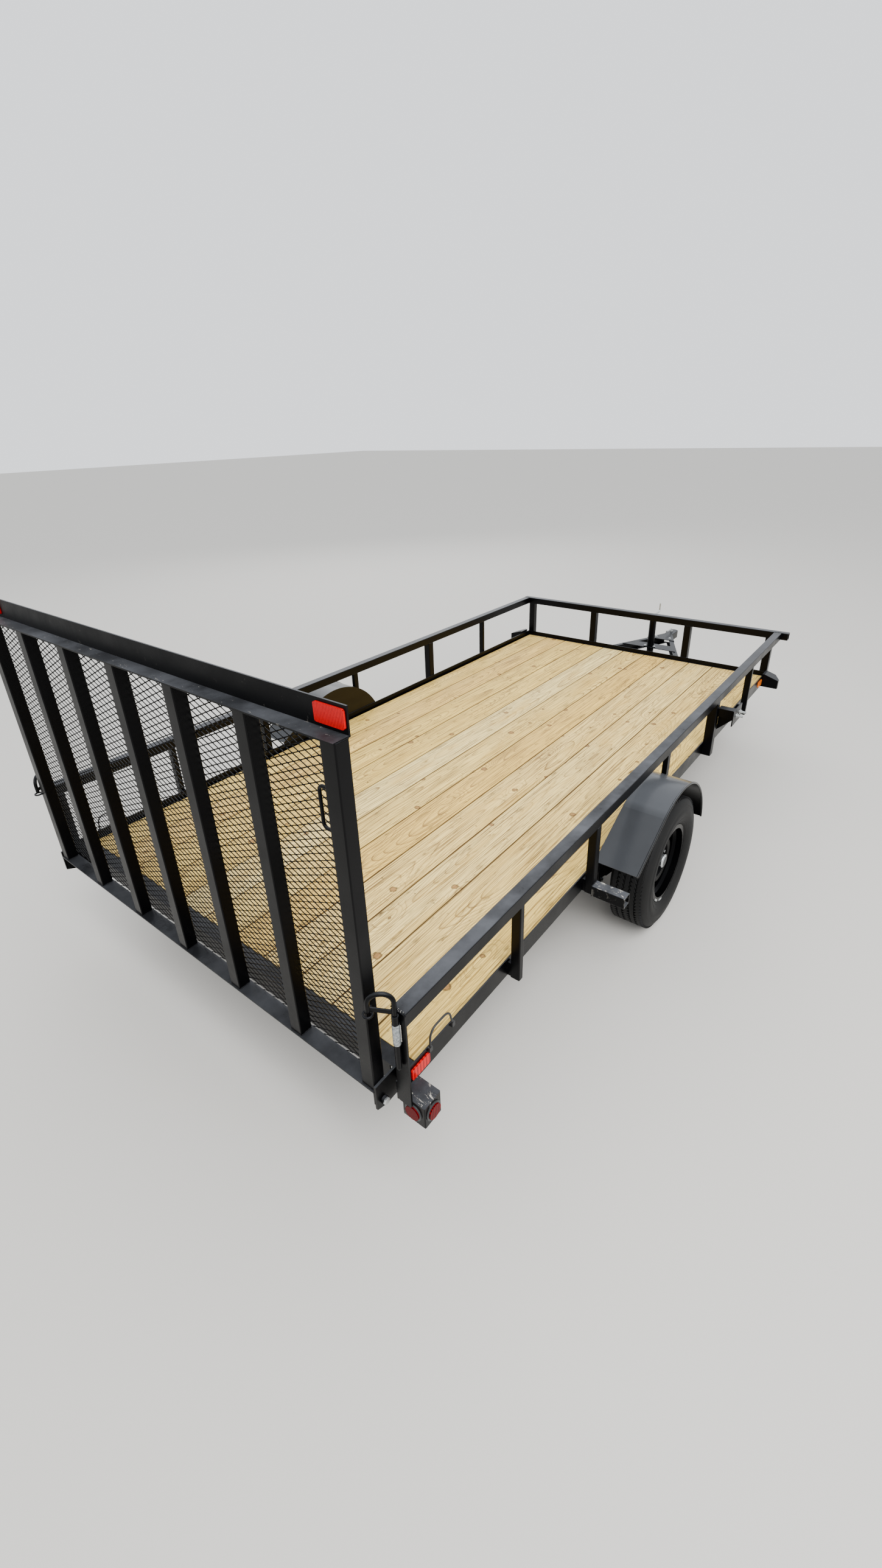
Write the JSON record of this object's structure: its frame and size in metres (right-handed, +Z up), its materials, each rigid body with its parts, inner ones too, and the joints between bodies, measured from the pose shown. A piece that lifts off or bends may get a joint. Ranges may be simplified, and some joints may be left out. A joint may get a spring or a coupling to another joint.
{
  "type": "utility trailer",
  "caption": "Single-axle flat-deck utility trailer with wooden deck boards, tube side rails, a mesh ramp gate at the rear and an A-frame tongue with a parking jack.",
  "frame": {"origin": "middle of the overall box at floor level, on the trailer's centre line", "axes": "+X forward to the coupler, +Y to the trailer's left, +Z up"},
  "size_m": [5.2164, 2.4636, 1.7142],
  "materials": {
    "black_paint": "gloss black enamel",
    "mesh_paint": "gloss black enamel",
    "pine": "fresh sawn softwood",
    "tyre": "matt",
    "rim_paint": "satin black",
    "hub_steel": "bare steel",
    "latch_steel": "black, sleeve zinc plated",
    "zinc": "black arm, plate and studs zinc plated",
    "red_lens": "clear red",
    "amber_lens": "clear amber",
    "grommet": "matt grey",
    "wire": "satin black"
  },
  "bodies": {
    "chassis": {"deck_boards": "pine", "frame_side_left": "black_paint", "frame_side_right": "black_paint", "frame_front": "black_paint", "frame_rear": "black_paint", "crossmembers": "black_paint", "rail_left": "black_paint", "rail_right": "black_paint", "rail_front": "black_paint", "rail_posts": "black_paint", "rail_posts_front": "black_paint", "tongue": "black_paint", "coupler": "black_paint", "coupler_lever": "black_paint", "jack_tube": "black_paint", "jack_crank": "black_paint", "axle": "black_paint", "springs": "black_paint", "spring_hangers": "black_paint", "fender_left": "black_paint", "fender_right": "black_paint", "fender_steps": "black_paint", "hinge_ears": "black_paint", "latches": "latch_steel", "lamp_boxes": "black_paint", "lamp_grommets": "grommet", "lamp_lenses": "red_lens", "side_reflectors": "red_lens", "amber_reflectors": "amber_lens", "marker_guards": "black_paint", "wire_loops": "wire", "spare_carrier": "zinc"},
    "wheel_left": {"tyre_left": "tyre", "rim_left": "rim_paint", "hub_left": "hub_steel"},
    "wheel_right": {"tyre_right": "tyre", "rim_right": "rim_paint", "hub_right": "hub_steel"},
    "gate": {"gate_top": "black_paint", "gate_bottom": "black_paint", "gate_posts": "black_paint", "gate_mesh": "mesh_paint", "gate_handle": "black_paint", "gate_reflectors": "red_lens", "latch_keepers": "latch_steel"},
    "jack_stand": {"jack_leg": "black_paint"}
  },
  "joints": [
    {"name": "wheel_left_spin", "type": "hinge", "parent": "chassis", "child": "wheel_left", "pos_m": [-0.78675, 1.1366, 0.332], "axis": [0, 1, 0], "continuous": true},
    {"name": "wheel_right_spin", "type": "hinge", "parent": "chassis", "child": "wheel_right", "pos_m": [-0.78675, -1.1366, 0.332], "axis": [0, 1, 0], "continuous": true},
    {"name": "gate_hinge", "type": "hinge", "parent": "chassis", "child": "gate", "pos_m": [-2.56175, 0, 0.462], "axis": [0, -1, 0], "range_deg": [0, 111]},
    {"name": "jack_slide", "type": "slide", "parent": "chassis", "child": "jack_stand", "axis": [0, 0, 1], "range_m": [0, 0.25]}
  ]
}
